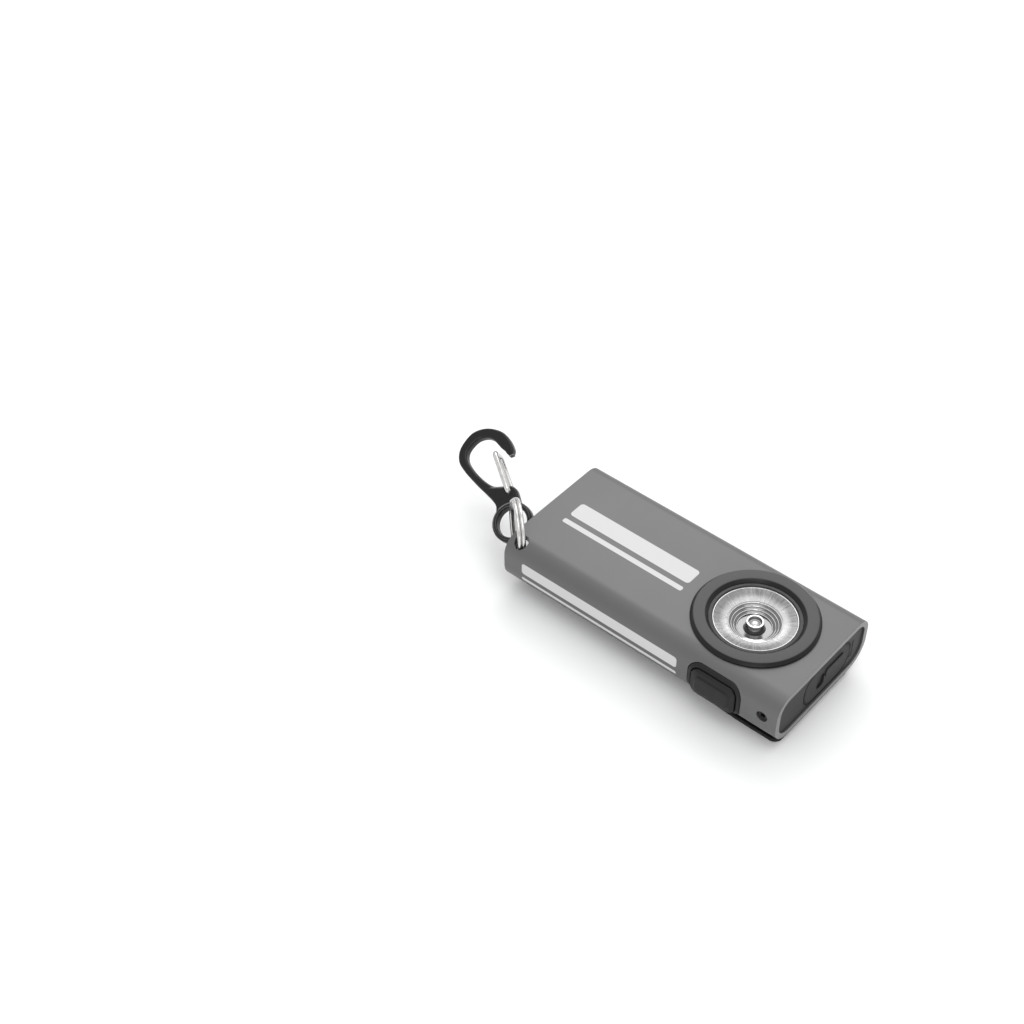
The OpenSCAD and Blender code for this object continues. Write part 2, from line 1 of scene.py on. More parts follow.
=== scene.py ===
# %% [markdown]
# # A keychain flashlight, finished around its CAD model
#
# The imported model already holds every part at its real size. This lesson keeps that frame and
# gives it its looks: satin anodised aluminium, black bezel and rubber, a dished lens, a wound
# split ring and a small cast snap hook. A CAD solid whose shape is right only gets a material.
# A part whose softness, winding or bevels are what the eye sees is built again as a surface.
#
# All sizes below are in millimetres, and are turned into metres when a mesh is made.

# %% Load the frame
import math

import bmesh
import bpy
import numpy as np
from mathutils import Matrix, Vector


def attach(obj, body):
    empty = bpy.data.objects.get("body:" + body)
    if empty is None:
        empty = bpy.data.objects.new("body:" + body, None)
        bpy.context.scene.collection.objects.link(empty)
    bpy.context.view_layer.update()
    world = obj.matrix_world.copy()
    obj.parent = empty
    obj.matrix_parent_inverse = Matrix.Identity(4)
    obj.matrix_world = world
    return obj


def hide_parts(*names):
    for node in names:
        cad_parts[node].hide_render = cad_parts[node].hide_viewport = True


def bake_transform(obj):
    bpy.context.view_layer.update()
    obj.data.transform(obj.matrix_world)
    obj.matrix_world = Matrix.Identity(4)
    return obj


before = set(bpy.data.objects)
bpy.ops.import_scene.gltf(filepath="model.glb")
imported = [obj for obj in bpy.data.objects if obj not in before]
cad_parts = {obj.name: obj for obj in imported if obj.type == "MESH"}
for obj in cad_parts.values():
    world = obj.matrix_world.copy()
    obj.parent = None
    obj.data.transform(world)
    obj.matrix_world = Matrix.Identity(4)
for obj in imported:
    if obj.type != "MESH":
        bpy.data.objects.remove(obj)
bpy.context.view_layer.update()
MM = 0.001

# %% [markdown]
# ## The camera
#
# The light is seen from above its button side, with the lens end nearest. A long lens keeps
# the tube's edges nearly parallel. The camera's axes are worked out once, from where it stands
# and where it looks, so that no tracking constraint is needed.

# %% Place the camera
CAMERA_AT = (105.486, -187.863, 244.163)
CAMERA_AIM = (-56.778, 0.920, 2.0)
CAMERA_LENS = 63.11


def aimed(at, aim):
    """The place and turn of something at one point, in millimetres, that looks at another. Its
    own -Z goes along the line of sight and its own Y stays upmost."""
    sight = (Vector(aim) - Vector(at)).normalized()
    turned_to = sight.to_track_quat("-Z", "Y").to_matrix().to_4x4()
    return Matrix.Translation(Vector(at) * MM) @ turned_to


camera_data = bpy.data.cameras.new("camera")
camera_data.lens = CAMERA_LENS
camera_data.sensor_width = 36.0
camera_data.clip_start = 0.01
camera = bpy.data.objects.new("camera", camera_data)
bpy.context.scene.collection.objects.link(camera)
camera.matrix_world = aimed(CAMERA_AT, CAMERA_AIM)
bpy.context.scene.camera = camera
print("camera distance:", round((Vector(CAMERA_AIM) - Vector(CAMERA_AT)).length), "mm")

# %% [markdown]
# ## Surfaces from arrays
#
# Every new piece is a grid of points: a profile carried round an axis, or along a path. The
# grid is one numpy array, so its points are worked out together and not one by one. Three
# small helpers cover all pieces: one joins a grid's neighbours into faces, one gathers several
# grids into an object, and one turns a profile about an axis.

# %% Turn grids into objects


def grid_faces(rows, columns, close_rows, close_columns):
    """Faces of a grid: point (i, j) joins (i+1, j), (i+1, j+1) and (i, j+1). A closed direction
    joins its last line of points to its first."""
    i = np.arange(rows if close_rows else rows - 1)[:, None]
    j = np.arange(columns if close_columns else columns - 1)[None, :]
    i_next = (i + 1) % rows
    j_next = (j + 1) % columns
    corners = [i * columns + j, i_next * columns + j, i_next * columns + j_next, i * columns + j_next]
    return np.stack([np.broadcast_to(c, (i.size, j.size)) for c in corners], axis=-1).reshape(-1, 4)


def surface(name, grids, material, crease=35.0):
    """One object from closed grids of points in millimetres. A grid is (points, close_rows,
    close_columns), and its open ends are filled with one flat face each. Doubled points at poles
    are merged, faces are turned outwards, and edges sharper than crease degrees stay sharp."""
    points = []
    faces = []
    start = 0
    for grid, close_rows, close_columns in grids:
        rows, columns, _ = grid.shape
        points.append(grid.reshape(-1, 3) * MM)
        faces += (grid_faces(rows, columns, close_rows, close_columns) + start).tolist()
        if not close_rows:
            faces.append((np.arange(columns) + start).tolist())
            faces.append((np.arange(columns)[::-1] + start + (rows - 1) * columns).tolist())
        start += rows * columns
    mesh = bpy.data.meshes.new(name)
    mesh.from_pydata(np.vstack(points).tolist(), [], faces)
    work = bmesh.new()
    work.from_mesh(mesh)
    bmesh.ops.remove_doubles(work, verts=work.verts, dist=1e-7)
    bmesh.ops.dissolve_degenerate(work, dist=1e-8, edges=work.edges)
    bmesh.ops.recalc_face_normals(work, faces=work.faces)
    work.to_mesh(mesh)
    work.free()
    mesh.polygons.foreach_set("use_smooth", np.ones(len(mesh.polygons), bool))
    mesh.set_sharp_from_angle(angle=math.radians(crease))
    mesh.materials.append(material)
    obj = bpy.data.objects.new(name, mesh)
    bpy.context.scene.collection.objects.link(obj)
    print(name, len(mesh.polygons), "faces")
    return obj


def turned(profile, steps=128, centre=(0.0, 0.0)):
    """Surface of revolution about a vertical axis: a profile point (radius, height) at angle a
    gives (cx + radius cos a, cy + radius sin a, height). The profile is a closed outline, or
    starts and ends on the axis."""
    profile = np.asarray(profile, float)
    angle = np.linspace(0, 2 * np.pi, steps, endpoint=False)[:, None]
    x = centre[0] + profile[None, :, 0] * np.cos(angle)
    y = centre[1] + profile[None, :, 0] * np.sin(angle)
    z = np.broadcast_to(profile[None, :, 1], x.shape)
    return np.stack([x, y, z], axis=-1), True, True


# %% [markdown]
# ## Materials written as arithmetic
#
# A procedural finish is mostly sums: a grain here, a mask there, one minus that. Laying those
# sums out as a chain of calls hides them, so a small class wraps a node's output and gives it
# the usual operators. An expression such as `0.4 + 0.1 * grain` then adds its own Math nodes.
# Every other node comes from one method, which takes the node's type, its settings and its
# inputs.

# %% A wrapped node output and a finish


class Signal:
    """One number that varies over a surface, with the operators that finishes use."""

    def __init__(self, finish, socket):
        self.finish = finish
        self.socket = socket

    def maths(self, operation, first, second=None):
        inputs = {0: first} if second is None else {0: first, 1: second}
        return self.finish.node("ShaderNodeMath", {"operation": operation}, inputs)

    def __add__(self, other):
        return self.maths("ADD", self, other)

    __radd__ = __add__

    def __sub__(self, other):
        return self.maths("SUBTRACT", self, other)

    def __rsub__(self, other):
        return self.maths("SUBTRACT", other, self)

    def __mul__(self, other):
        return self.maths("MULTIPLY", self, other)

    __rmul__ = __mul__

    def __truediv__(self, other):
        return self.maths("DIVIDE", self, other)

    def __abs__(self):
        return self.maths("ABSOLUTE", self)

    def root(self):
        return self.maths("SQRT", self)

    def lower(self, other):
        return self.maths("MINIMUM", self, other)

    def higher(self, other):
        return self.maths("MAXIMUM", self, other)

    def between(self, start, end):
        """0 below start, 1 above end and a smooth slope in between. An end below start falls."""
        settings = {"interpolation_type": "SMOOTHSTEP"}
        inputs = {"Value": self, "From Min": start, "From Max": end}
        return self.finish.node("ShaderNodeMapRange", settings, inputs)


class Finish:
    """A material under construction: its shader, its coordinates in millimetres and its nodes."""

    def __init__(self, name, **constants):
        self.material = bpy.data.materials.new(name)
        self.material.use_nodes = True
        self.tree = self.material.node_tree
        self.shader = self.tree.nodes["Principled BSDF"]
        for socket, value in constants.items():
            self.shader.inputs[socket.replace("_", " ")].default_value = value
        coordinates = self.node("ShaderNodeTexCoord", output="Object")
        scale = {"Scale": (1 / MM,) * 3}
        self.place = self.node("ShaderNodeMapping", inputs={"Vector": coordinates, **scale})
        split = self.tree.nodes.new("ShaderNodeSeparateXYZ")
        self.tree.links.new(self.place.socket, split.inputs[0])
        self.x, self.y, self.z = (Signal(self, s) for s in split.outputs)

    def node(self, kind, settings=None, inputs=None, output=0):
        """Adds a node. Settings are made first, then each input gets a value or a link."""
        made = self.tree.nodes.new(kind)
        for name, value in (settings or {}).items():
            setattr(made, name, value)
        for name, value in (inputs or {}).items():
            if isinstance(value, Signal):
                self.tree.links.new(value.socket, made.inputs[name])
            else:
                made.inputs[name].default_value = value
        return Signal(self, made.outputs[output])

    def noise(self, size, detail=2.0, roughness=0.5, stretch=(1, 1, 1)):
        """Cloudy noise whose blobs are about size millimetres across, from 0 to 1."""
        place = self.node("ShaderNodeMapping", inputs={"Vector": self.place, "Scale": stretch})
        inputs = {"Vector": place, "Scale": 1 / size, "Detail": detail, "Roughness": roughness}
        return self.node("ShaderNodeTexNoise", inputs=inputs)

    def colours(self, mask, low, high):
        """The colour low where the mask is 0 and high where it is 1. Either may be a link."""
        mixer = self.tree.nodes.new("ShaderNodeMix")
        mixer.data_type = "RGBA"
        for index, value in ((0, mask), (6, low), (7, high)):
            if isinstance(value, Signal):
                self.tree.links.new(value.socket, mixer.inputs[index])
            else:
                mixer.inputs[index].default_value = (*value, 1.0) if index else value
        return Signal(self, mixer.outputs[2])

    def relief(self, height, depth, edge=0.0):
        """Bump of a height from 0 to 1 that stands depth millimetres high, over edges rounded
        to the radius edge."""
        inputs = {"Height": height, "Distance": depth * MM, "Strength": 1.0}
        if edge:
            inputs["Normal"] = self.soft_edge(edge)
        self.feed("Normal", self.node("ShaderNodeBump", inputs=inputs))

    def soft_edge(self, radius):
        return self.node("ShaderNodeBevel", {"samples": 6}, {"Radius": radius * MM})

    def feed(self, socket, value):
        """Sets one input of the shader to a number, a colour or a link."""
        if isinstance(value, Signal):
            self.tree.links.new(value.socket, self.shader.inputs[socket])
        else:
            plain = isinstance(value, (int, float))
            self.shader.inputs[socket].default_value = value if plain else (*value[:3], 1.0)


def grey(level, warmth=0.0):
    """A near grey, a little warmer or cooler."""
    return (level * (1 + warmth), level, level * (1 - warmth))


def wear(nodes, finish):
    """Gives CAD nodes that are shown as they are their finish."""
    for name in nodes:
        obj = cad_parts[name]
        obj.data.materials.clear()
        obj.data.materials.append(finish.material)

# %% [markdown]
# ## The tube's finish
#
# The tube is an aluminium extrusion, blasted with fine beads and then anodised grey. The blast
# leaves a grain finer than a tenth of a millimetre, which spreads highlights into soft bands,
# so most of the look is roughness and a very shallow bump. The cut ends are brighter, because
# the saw takes the grain off. White marks are pad printed on top: here a plain double bar on
# the top face and another along the button side. They are masks in millimetres, drawn with the
# distance to a rounded bar.

# %% Anodised aluminium with white printed bars
TUBE_TOP = 12.8
TUBE_SIDE = 14.0
LENS_END_X = 14.6


def bar_mask(u, v, centre, half, radius):
    """1 inside a bar with rounded corners. The distance past its inner rectangle, from the
    positive parts of |u - cu| - hu + r and |v - cv| - hv + r, is compared with r."""
    past_u = (abs(u - centre[0]) - (half[0] - radius)).higher(0.0)
    past_v = (abs(v - centre[1]) - (half[1] - radius)).higher(0.0)
    return (past_u * past_u + past_v * past_v).root().between(radius + 0.05, radius - 0.05)


anodised = Finish("anodised_aluminium", Metallic=0.9, Specular_IOR_Level=0.5)
on_top = anodised.z.between(TUBE_TOP - 0.15, TUBE_TOP - 0.05)
on_side = (0 - anodised.y).between(TUBE_SIDE - 1.2, TUBE_SIDE - 1.1)
top_print = (
    bar_mask(anodised.x, anodised.y, (-27.5, 0.9), (13.6, 1.9), 0.7)
    + bar_mask(anodised.x, anodised.y, (-27.5, -2.75), (13.6, 0.55), 0.4)
)
side_print = (
    bar_mask(anodised.x, anodised.z, (-24.0, 8.35), (17.6, 1.25), 0.6)
    + bar_mask(anodised.x, anodised.z, (-24.0, 5.75), (17.6, 0.4), 0.3)
)
printed = (on_top * top_print + on_side * side_print).lower(1.0)
blast = anodised.noise(0.09, detail=3.0, roughness=0.6)
cloud = anodised.noise(14.0, detail=2.0)
cut_end = anodised.x.between(LENS_END_X - 0.03, LENS_END_X - 0.01)
metal = anodised.colours(cloud, grey(0.128), grey(0.145))
metal = anodised.colours(cut_end * 0.75, metal, grey(0.25))
anodised.feed("Base Color", anodised.colours(printed, metal, grey(0.6)))
anodised.feed("Metallic", 0.55 - 0.55 * printed)
anodised.feed("Roughness", 0.42 + 0.06 * blast + 0.08 * printed)
anodised.relief(blast * 0.5 + printed * 0.5, 0.012, edge=0.12)
wear(["tube"], anodised)

# %% [markdown]
# ## The bezel
#
# The bezel is turned from aluminium and anodised black. A lathe leaves rings too fine to see
# and small radii at each edge, and those radii carry the highlights. A profile with rounded
# corners, turned about the optical axis, gives both at once. Each sharp corner of the profile
# is swapped for an arc of a few points before it is turned.

# %% Round a profile's corners and turn the bezel


def rounded_outline(points, radii, steps=5):
    """A closed outline with each corner swapped for an arc. At a corner between unit directions
    a and b, the arc's ends lie r / tan(half the corner's angle) along each side, and its points
    follow a quadratic curve from one end over the corner to the other."""
    points = np.asarray(points, float)
    before = np.roll(points, 1, axis=0) - points
    after = np.roll(points, -1, axis=0) - points
    length_before = np.linalg.norm(before, axis=1, keepdims=True)
    length_after = np.linalg.norm(after, axis=1, keepdims=True)
    before, after = before / length_before, after / length_after
    half_angle = np.arccos(np.clip((before * after).sum(1, keepdims=True), -1, 1)) / 2
    reach = np.asarray(radii, float)[:, None] / np.tan(half_angle)
    reach = np.minimum(reach, 0.48 * np.minimum(length_before, length_after))
    t = np.linspace(0, 1, steps)[None, :, None]
    start = (points + before * reach)[:, None]
    end = (points + after * reach)[:, None]
    arcs = (1 - t) ** 2 * start + 2 * t * (1 - t) * points[:, None] + t**2 * end
    return arcs.reshape(-1, 2)


BEZEL_R = 11.5
BEZEL_TOP = TUBE_TOP + 0.9
bezel_profile = rounded_outline(
    [
        (8.2, TUBE_TOP + 0.3),
        (8.95, BEZEL_TOP),
        (BEZEL_R - 0.55, BEZEL_TOP),
        (BEZEL_R, TUBE_TOP + 0.3),
        (BEZEL_R, TUBE_TOP),
        (9.6, TUBE_TOP),
        (9.6, TUBE_TOP - 1.9),
        (8.8, TUBE_TOP - 1.9),
        (8.8, TUBE_TOP + 0.3),
    ],
    [0.05, 0.12, 0.14, 0.1, 0.06, 0.02, 0.05, 0.05, 0.02],
)
bezel_black = Finish("black_anodised_bezel", Metallic=0.35, Specular_IOR_Level=0.5)
lathe = bezel_black.noise(0.25, detail=2.0)
radius = (bezel_black.x * bezel_black.x + bezel_black.y * bezel_black.y).root()
flat_top = bezel_black.z.between(BEZEL_TOP - 0.12, BEZEL_TOP - 0.03)
# The flat top is painted lighter than the slopes: a painted sheen where the light from above falls on it.
bezel_black.feed("Base Color", bezel_black.colours(flat_top, grey(0.004), grey(0.048)))
bezel_black.feed("Roughness", 0.2 + 0.14 * flat_top + 0.1 * lathe)
bezel_black.relief(bezel_black.noise(0.08, detail=2.0), 0.006)
bezel = surface("bezel", [turned(bezel_profile, 192)], bezel_black.material, crease=50.0)
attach(bezel, "root")
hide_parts("bezel_ring")

# %% [markdown]
# ## The lens
#
# The lens is one clear moulding that gathers light by reflection inside itself. From outside
# its silvered look comes from that reflection: a bright dish with faint spokes from the mould,
# and below it a well with fine steps and a short post that ends in a tiny lens. Real refraction
# would need many samples and wouldn't survive an export, so the dish is a turned profile with
# every step in it, and that reflection, with its highlights and shade, is painted into the colour
# by the distance from the axis.

# %% Turn the lens, with its steps and post
FLANGE_TOP = TUBE_TOP + 0.25
WELL_FLOOR = 10.4
post = [(0.0, 11.72), (0.4, 11.68), (0.75, 11.55), (1.0, 11.3), (1.1, 11.4), (1.22, 12.02)]
post += [(1.3, 12.1), (1.5, 12.1), (1.6, 12.02), (1.72, 11.0), (2.0, WELL_FLOOR)]
STEP_RADII = (3.05, 3.55, 4.05, 4.55)
STEP_HEIGHTS = (10.72, 11.1, 11.5, 11.9)
steps_up = [(2.9, WELL_FLOOR)]
for step_r, step_z in zip(STEP_RADII, STEP_HEIGHTS):
    steps_up += [(step_r, step_z - 0.3), (step_r + 0.05, step_z), (step_r + 0.13, step_z + 0.06)]
    steps_up += [(step_r + 0.3, step_z - 0.02)]
dish = [(4.9, 12.0), (7.3, 12.68), (7.38, 12.78), (7.5, 12.78), (7.56, 12.7), (7.62, FLANGE_TOP - 0.1)]
flange = [(7.7, FLANGE_TOP), (8.7, FLANGE_TOP), (8.7, FLANGE_TOP - 0.7), (7.5, FLANGE_TOP - 0.7)]
flank_t = np.linspace(1, 0, 9)[1:, None]
FOOT_R, FOOT_Z, FLANK_TOP = 3.03, 6.45, FLANGE_TOP - 0.7
flank = np.hstack([FOOT_R + (7.5 - FOOT_R) * flank_t**0.62, FOOT_Z + (FLANK_TOP - FOOT_Z) * flank_t])
hollow = [(2.62, FOOT_Z), (2.35, FOOT_Z + 0.9), (1.3, FOOT_Z + 1.35), (0.0, FOOT_Z + 1.5)]
lens_profile = np.vstack([post, steps_up, dish, flange, flank, hollow])

# %% [markdown]
# The spokes are noise on a circle: each point's direction from the axis, scaled up, is the
# noise coordinate, so the pattern changes quickly round the dish and hardly at all along a
# radius.

# %% The lens's finish and piece
lens_finish = Finish("moulded_lens", Specular_IOR_Level=0.5, Coat_Roughness=0.04)
radius = (lens_finish.x * lens_finish.x + lens_finish.y * lens_finish.y).root().higher(0.01)
SPOKES = 22.0
direction = lens_finish.node(
    "ShaderNodeCombineXYZ",
    inputs={"X": lens_finish.x / radius * SPOKES, "Y": lens_finish.y / radius * SPOKES, "Z": radius * 0.3},
)
spokes = lens_finish.node("ShaderNodeTexNoise", inputs={"Vector": direction, "Scale": 1.0, "Detail": 3.0})
spokes = spokes.between(0.28, 0.72)
rim_band = radius.between(7.54, 7.6)
# A painted highlight: a thin bright line on the ridge just inside the flange.
painted_ridge_highlight = radius.between(7.3, 7.36) - rim_band
in_well = radius.between(4.62, 4.5)
on_post = radius.between(1.72, 1.62)
tiny_lens = radius.between(1.14, 1.06)
# A painted reflection: a bright crescent round the edge of the well.
painted_well_crescent = radius.between(4.5, 4.75) * radius.between(6.6, 5.2)
# Painted highlights: bright rings on each step's lip and on the rim of the post.
painted_step_highlights = 0.0
for step_r in STEP_RADII:
    past_inner = radius.between(step_r + 0.02, step_r + 0.07)
    before_outer = radius.between(step_r + 0.24, step_r + 0.18)
    painted_step_highlights = painted_step_highlights + past_inner * before_outer
painted_post_highlight = radius.between(1.2, 1.26) * radius.between(1.6, 1.54)
# The lens's colour is painted light: a painted reflection over the dish, then painted highlights and painted
# shade on top of it.
painted_reflection = lens_finish.colours(spokes, grey(0.18), grey(0.28))
painted_reflection = lens_finish.colours(painted_well_crescent * 0.6, painted_reflection, grey(0.72))
painted_reflection = lens_finish.colours(in_well, painted_reflection, grey(0.22))
# The post is painted darker, a painted shade, and the tiny lens on it is painted bright, a painted
# highlight.
painted_reflection = lens_finish.colours(on_post, painted_reflection, grey(0.16))
painted_reflection = lens_finish.colours(painted_step_highlights.higher(painted_post_highlight).higher(painted_ridge_highlight * 0.45), painted_reflection, grey(0.85))
painted_reflection = lens_finish.colours(tiny_lens, painted_reflection, grey(0.6))
lens_finish.feed("Base Color", lens_finish.colours(rim_band, painted_reflection, grey(0.012)))
lens_finish.feed("Metallic", 0.85 - 0.85 * rim_band - 0.45 * tiny_lens * (1 - rim_band))
lens_finish.feed("Roughness", 0.2 + 0.08 * spokes - 0.08 * in_well + 0.2 * rim_band)
lens_finish.feed("Coat Weight", 0.6 - 0.55 * rim_band)
lens_finish.relief(spokes * (1 - in_well) * (1 - rim_band), 0.02)
lens = surface("dished_lens", [turned(lens_profile, 192)], lens_finish.material, crease=28.0)
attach(lens, "root")
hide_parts("tir_lens")

# %% [markdown]
# ## The button
#
# A rubber surround sits in an opening that runs over the tube's rounded shoulders, so its lip
# follows the extrusion's outline while the pad inside it is nearly flat. Both are lofts: the
# same rounded rectangle at growing sizes, with one more number for how far each ring of points
# stands out. The surround's rings are laid on the tube's own outline.

# %% Rounded rectangles and the tube's side
MID_Z = 7.4
BUTTON_X = 1.6
TOP_EDGE_R = 3.6
BOTTOM_EDGE_R = 4.6
TUBE_FLOOR = 2.0


def rounded_loop(half_u, half_v, radius, corner_steps=8):
    """Loops of points round rectangles with rounded corners, one loop a row. At corner k the
    arc runs from k to k + 1 quarter turns about the point (±(hu - r), ±(hv - r))."""
    sizes = (half_u, half_v, radius)
    half_u, half_v, radius = (np.atleast_1d(a).astype(float)[:, None, None] for a in sizes)
    quarter = np.linspace(0, np.pi / 2, corner_steps)[None, None, :]
    corner = np.arange(4)[None, :, None]
    angle = quarter + corner * np.pi / 2
    sign_u = np.array([1, -1, -1, 1])[None, :, None]
    sign_v = np.array([1, 1, -1, -1])[None, :, None]
    u = sign_u * (half_u - radius) + radius * np.cos(angle)
    v = sign_v * (half_v - radius) + radius * np.sin(angle)
    return u.reshape(len(half_u), -1), v.reshape(len(half_u), -1)


def side_of_tube(z):
    """Half width of the tube at height z: 14 between its rounded edges, and on an edge of radius
    r, 14 - r + sqrt(r^2 - d^2), where d is the height past the edge's centre."""
    over = np.clip(z - (TUBE_TOP - TOP_EDGE_R), 0, TOP_EDGE_R)
    under = np.clip((TUBE_FLOOR + BOTTOM_EDGE_R) - z, 0, BOTTOM_EDGE_R)
    upper = TOP_EDGE_R - np.sqrt(TOP_EDGE_R**2 - over**2)
    lower = BOTTOM_EDGE_R - np.sqrt(BOTTOM_EDGE_R**2 - under**2)
    return TUBE_SIDE - upper - lower


# %% The button's rubber finish
button_rubber = Finish("button_rubber", Specular_IOR_Level=0.35)
skin = button_rubber.noise(0.16, detail=3.0, roughness=0.65)
shine = button_rubber.noise(2.5, detail=1.0)
button_rubber.feed("Base Color", button_rubber.colours(skin, grey(0.002), grey(0.005)))
button_rubber.feed("Roughness", 0.4 + 0.12 * skin + 0.08 * shine)
button_rubber.relief(skin, 0.012)

# %% The surround and the pad
PAD_HALF = (4.6, 2.95, 1.5)
lip_grow = np.array([0.12, 0.12, 0.16, 0.26, 0.45, 0.68, 0.84, 0.93, 0.95, 0.95])
lip_out = np.array([-2.3, 0.02, 0.15, 0.24, 0.25, 0.22, 0.1, -0.08, -0.3, -2.3])
u, v = rounded_loop(PAD_HALF[0] + lip_grow, PAD_HALF[1] + lip_grow, PAD_HALF[2] + lip_grow, 10)
lip = np.stack([BUTTON_X + u, -(side_of_tube(MID_Z + v) + lip_out[:, None]), MID_Z + v], axis=-1)
surround = surface("button_surround", [(lip, True, True)], button_rubber.material, crease=60.0)
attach(surround, "root")
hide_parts("button_frame")

pad_inset = np.array([0.0, 0.0, 0.03, 0.1, 0.24, 0.8, 1.02, 1.1, 1.16, 1.3, 2.4])
pad_y = np.array([12.5, 14.22, 14.34, 14.44, 14.5, 14.62, 14.68, 14.8, 14.87, 14.9, 14.92])
pad_corner = np.maximum(PAD_HALF[2] - 0.6 * pad_inset, 0.3)
u, v = rounded_loop(PAD_HALF[0] - pad_inset, PAD_HALF[1] - pad_inset, pad_corner, 10)
pad = np.stack([BUTTON_X + u, np.broadcast_to(-pad_y[:, None], u.shape), MID_Z + v], axis=-1)
boss_y = np.array([12.52, 10.3, 10.17])
u, v = rounded_loop(*(np.array([1.5, 1.5, 1.4]),) * 3, 8)
boss = np.stack([BUTTON_X + u, np.broadcast_to(-boss_y[:, None], u.shape), MID_Z + v], axis=-1)
pad_grids = [(pad, False, True), (boss, False, True)]
button_pad = surface("button_pad", pad_grids, button_rubber.material, crease=55.0)
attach(button_pad, "button")
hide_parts("side_button")

# %% [markdown]
# ## The spring clip
#
# The clip is one strip of spring steel: a screwed foot, a crank down and a flat arm that widens
# towards the lens end. In the model its foot and arm are two nodes with a hinge between them,
# which stands for the bend. Here it is one strip again. Its cross-sections are rounded rectangles
# carried along the tube, with a smooth crank between the foot and the arm.

# %% Carry the clip's section along the tube
CLIP_T = 0.8
CLIP_FOOT_R = 1.0
FOOT_Z_MID, CRANK_DROP = 1.6, 1.2
FOOT_X0, CRANK_X0, CRANK_X1, WIDE_X, TIP_X = -26.0, -15.4, -11.2, 7.0, 13.9
FOOT_HALF, ARM_HALF, CLIP_SIDE_R, CLIP_TIP_R = 8.0, 11.5, 66.0, 1.6


def eased(t):
    """Smooth step: 3 t^2 - 2 t^3 between 0 and 1, level outside."""
    t = np.clip(t, 0, 1)
    return t * t * (3 - 2 * t)


tip_angle = np.linspace(0, np.pi / 2, 9)
clip_x = np.concatenate(
    [
        FOOT_X0 + CLIP_FOOT_R - np.cos(tip_angle),
        np.linspace(FOOT_X0 + 1.3, CRANK_X0, 10),
        np.linspace(CRANK_X0, CRANK_X1, 14)[1:],
        np.linspace(CRANK_X1, TIP_X - CLIP_TIP_R, 40)[1:-1],
        TIP_X - CLIP_TIP_R + CLIP_TIP_R * np.sin(tip_angle),
    ]
)
arm_half = ARM_HALF - CLIP_SIDE_R + np.sqrt(CLIP_SIDE_R**2 - np.clip(WIDE_X - clip_x, 0, None) ** 2)
clip_half = FOOT_HALF + (arm_half - FOOT_HALF) * eased((clip_x - CRANK_X0) / (CRANK_X1 - CRANK_X0))
past_tip = np.clip(clip_x - (TIP_X - CLIP_TIP_R), 0, CLIP_TIP_R)
before_foot = np.clip(FOOT_X0 + CLIP_FOOT_R - clip_x, 0, CLIP_FOOT_R)
clip_half = clip_half - CLIP_TIP_R + np.sqrt(CLIP_TIP_R**2 - past_tip**2)
clip_half = clip_half - CLIP_FOOT_R + np.sqrt(CLIP_FOOT_R**2 - before_foot**2)
clip_z = FOOT_Z_MID - CRANK_DROP * eased((clip_x - CRANK_X0) / (CRANK_X1 - CRANK_X0))
u, v = rounded_loop(clip_half, np.full(clip_half.shape, CLIP_T / 2), np.full(clip_half.shape, 0.14), 4)
clip_grid = np.stack([np.broadcast_to(clip_x[:, None], u.shape), u, clip_z[:, None] + v], axis=-1)

clip_black = Finish("blacked_spring_steel", Metallic=0.3, Specular_IOR_Level=0.3)
scale = clip_black.noise(0.2, detail=4.0, roughness=0.6)
smear = clip_black.noise(6.0, detail=2.0, stretch=(0.4, 1.0, 1.0))
clip_black.feed("Base Color", clip_black.colours(smear, grey(0.008), grey(0.016)))
clip_black.feed("Roughness", 0.34 + 0.14 * scale + 0.08 * smear)
clip_black.relief(scale, 0.01)
clip = surface("spring_clip", [(clip_grid, False, True)], clip_black.material, crease=50.0)
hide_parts("clip_foot", "clip_arm")
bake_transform(clip)

# %% [markdown]
# ## The split ring
#
# A split ring is one wire wound twice, so each coil lies beside the other except where the wire
# steps across. Two plain circles would miss that step and the two cut ends, which are what make
# it read as a key ring. The wire's middle line goes twice round a circle while a smooth step
# carries it sideways, and a round section follows it.

# %% Wind the split ring
RING_R = 6.15
RING_WIRE = 0.8
RING_HEADING = math.radians(138.4)
RING_HOLE = np.array([-43.4, -11.9, 12.2])
RING_DROP = 2.8
ring_reach = math.sqrt(RING_R**2 - RING_DROP**2)
ring_out = np.array([math.cos(RING_HEADING), math.sin(RING_HEADING), 0.0])
ring_up = np.array([0.0, 0.0, 1.0])
ring_side = np.cross(ring_out, ring_up)
RING_CENTRE = RING_HOLE + ring_reach * ring_out - RING_DROP * ring_up


def swept(path, across, over, half_width, half_depth, corner):
    """A rounded section carried along a path: a section point (u, v) at path point p, with unit
    directions a and o, gives p + u a + v o. Sizes may change along the path, one per point."""
    u, v = rounded_loop(half_width, half_depth, corner, 6)
    return path[:, None] + u[..., None] * across[:, None] + v[..., None] * over[:, None]


RING_STEP_AT = math.radians(62)
STEP_LENGTH = math.radians(38)
turn = np.linspace(0.02, 4 * np.pi - STEP_LENGTH, 420)
COIL_GAP = RING_WIRE - 0.03
sideways = COIL_GAP * (eased((turn - (2 * np.pi - STEP_LENGTH)) / STEP_LENGTH) - 0.5)
angle = RING_STEP_AT + turn
outward = np.cos(angle)[:, None] * ring_out + np.sin(angle)[:, None] * ring_up
wire_line = RING_CENTRE + RING_R * outward + sideways[:, None] * ring_side
end_taper = np.minimum(np.arange(len(turn)), np.arange(len(turn))[::-1])
wire_half = RING_WIRE / 2 * (0.96 - 0.25 * (end_taper == 0))
ring_grid = swept(
    wire_line,
    outward,
    np.broadcast_to(ring_side, outward.shape),
    wire_half,
    wire_half,
    wire_half * 0.96,
)

